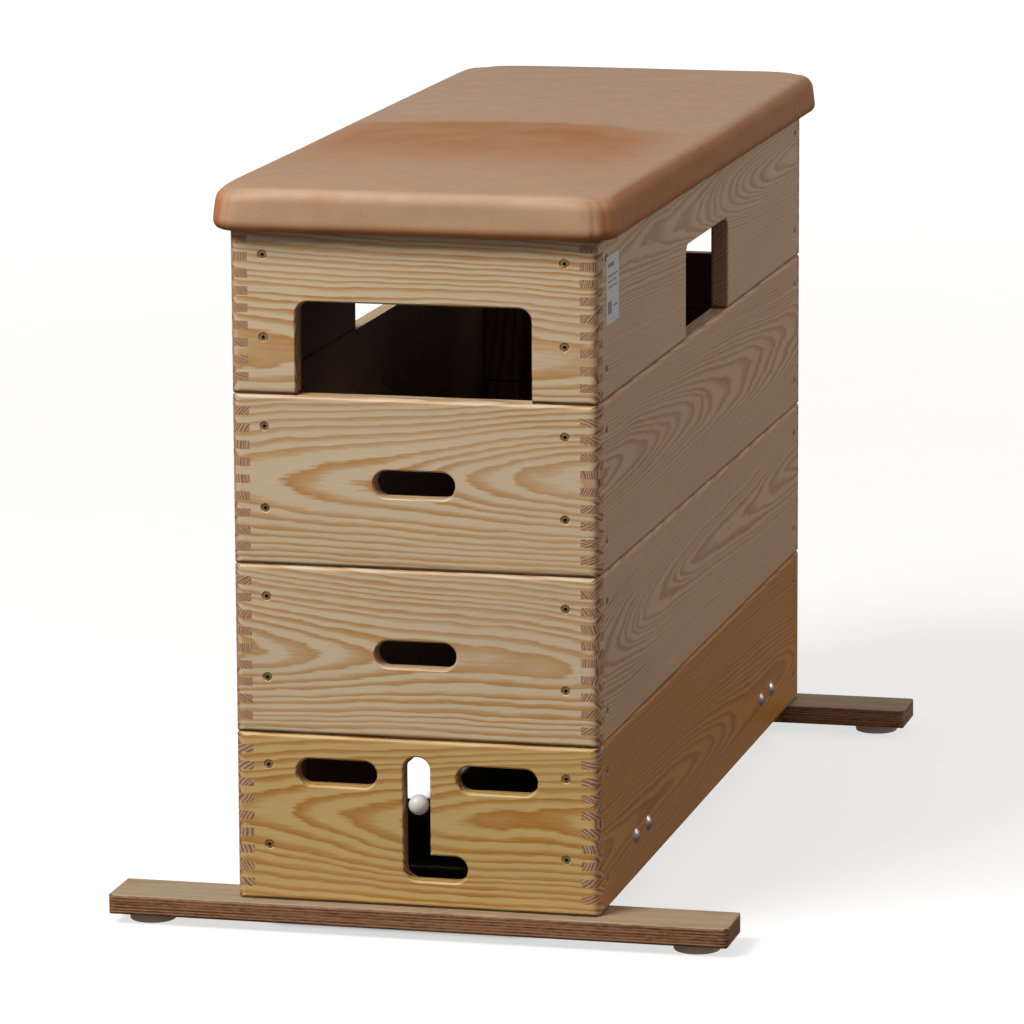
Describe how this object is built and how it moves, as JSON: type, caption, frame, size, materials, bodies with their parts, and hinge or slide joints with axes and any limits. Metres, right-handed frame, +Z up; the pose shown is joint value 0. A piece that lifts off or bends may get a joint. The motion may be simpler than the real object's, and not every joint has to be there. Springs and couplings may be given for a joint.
{
  "type": "vaulting box",
  "caption": "Stacked wooden vaulting box with finger-jointed sections, hand slots, a padded leather top, plywood foot bars and lever-worked transport wheels.",
  "frame": {"origin": "on the floor, midway between the four rubber feet", "axes": "+Y along the box towards the rear end, +X across the box to the right, +Z up"},
  "size_m": [0.744, 1.246, 0.882],
  "materials": {
    "pine_upper": "satin",
    "pine_base": "satin",
    "post_pine": "matte",
    "plywood": "satin",
    "leather": "satin",
    "foam": "matte",
    "foot_rubber": "satin",
    "tyre": "matte",
    "hub_plastic": "matte",
    "knob_plastic": "gloss",
    "dark_steel": "satin",
    "zinc": "satin",
    "brass": "satin",
    "label_film": "satin"
  },
  "bodies": {
    "base": {"base_front_board": "pine_base", "base_rear_board": "pine_base", "base_left_board": "pine_base", "base_right_board": "pine_base", "base_corner_posts": "post_pine", "base_screws": "brass", "foot_bar_front": "plywood", "foot_bar_rear": "plywood", "foot_bar_screws": "zinc", "rubber_feet": "foot_rubber", "bearing_plates": "dark_steel", "coach_bolts": "zinc", "coach_washers": "zinc", "coach_nuts": "zinc"},
    "section_2": {"section_2_front_board": "pine_upper", "section_2_rear_board": "pine_upper", "section_2_left_board": "pine_upper", "section_2_right_board": "pine_upper", "section_2_corner_posts": "post_pine", "section_2_screws": "brass"},
    "section_3": {"section_3_front_board": "pine_upper", "section_3_rear_board": "pine_upper", "section_3_left_board": "pine_upper", "section_3_right_board": "pine_upper", "section_3_corner_posts": "post_pine", "section_3_screws": "brass"},
    "top_section": {"top_front_board": "pine_upper", "top_rear_board": "pine_upper", "top_left_board": "pine_upper", "top_right_board": "pine_upper", "top_corner_posts": "post_pine", "top_screws": "brass", "pad_board": "plywood", "pad_foam": "foam", "leather_cover": "leather", "pad_brackets": "zinc", "label": "label_film"},
    "front_axle": {"front_axle_tube": "dark_steel", "front_swing_plate": "dark_steel", "front_lever": "dark_steel", "front_lever_knob": "knob_plastic", "front_wheel_axle": "zinc", "front_axle_nuts": "zinc"},
    "front_left_wheel": {"front_left_tyre": "tyre", "front_left_hub": "hub_plastic"},
    "front_right_wheel": {"front_right_tyre": "tyre", "front_right_hub": "hub_plastic"},
    "rear_axle": {"rear_axle_tube": "dark_steel", "rear_swing_plate": "dark_steel", "rear_lever": "dark_steel", "rear_lever_knob": "knob_plastic", "rear_wheel_axle": "zinc", "rear_axle_nuts": "zinc"},
    "rear_left_wheel": {"rear_left_tyre": "tyre", "rear_left_hub": "hub_plastic"},
    "rear_right_wheel": {"rear_right_tyre": "tyre", "rear_right_hub": "hub_plastic"}
  },
  "joints": [
    {"name": "section_2_lift", "type": "slide", "parent": "base", "child": "section_2", "axis": [0, 0, 1], "range_m": [0, 0.12]},
    {"name": "section_3_lift", "type": "slide", "parent": "section_2", "child": "section_3", "axis": [0, 0, 1], "range_m": [0, 0.12]},
    {"name": "top_lift", "type": "slide", "parent": "section_3", "child": "top_section", "axis": [0, 0, 1], "range_m": [0, 0.12]},
    {"name": "front_lever_swing", "type": "hinge", "parent": "base", "child": "front_axle", "pos_m": [0, -0.375, 0.087], "axis": [1, 0, 0], "range_deg": [-11.6, 17.5]},
    {"name": "front_left_wheel_spin", "type": "hinge", "parent": "front_axle", "child": "front_left_wheel", "pos_m": [-0.15, -0.42458, 0.03759], "axis": [1, 0, 0], "continuous": true},
    {"name": "front_right_wheel_spin", "type": "hinge", "parent": "front_axle", "child": "front_right_wheel", "pos_m": [0.15, -0.42458, 0.03759], "axis": [1, 0, 0], "continuous": true},
    {"name": "rear_lever_swing", "type": "hinge", "parent": "base", "child": "rear_axle", "pos_m": [0, 0.375, 0.087], "axis": [-1, 0, 0], "range_deg": [-11.6, 17.5]},
    {"name": "rear_left_wheel_spin", "type": "hinge", "parent": "rear_axle", "child": "rear_left_wheel", "pos_m": [-0.15, 0.42458, 0.03759], "axis": [1, 0, 0], "continuous": true},
    {"name": "rear_right_wheel_spin", "type": "hinge", "parent": "rear_axle", "child": "rear_right_wheel", "pos_m": [0.15, 0.42458, 0.03759], "axis": [1, 0, 0], "continuous": true}
  ]
}
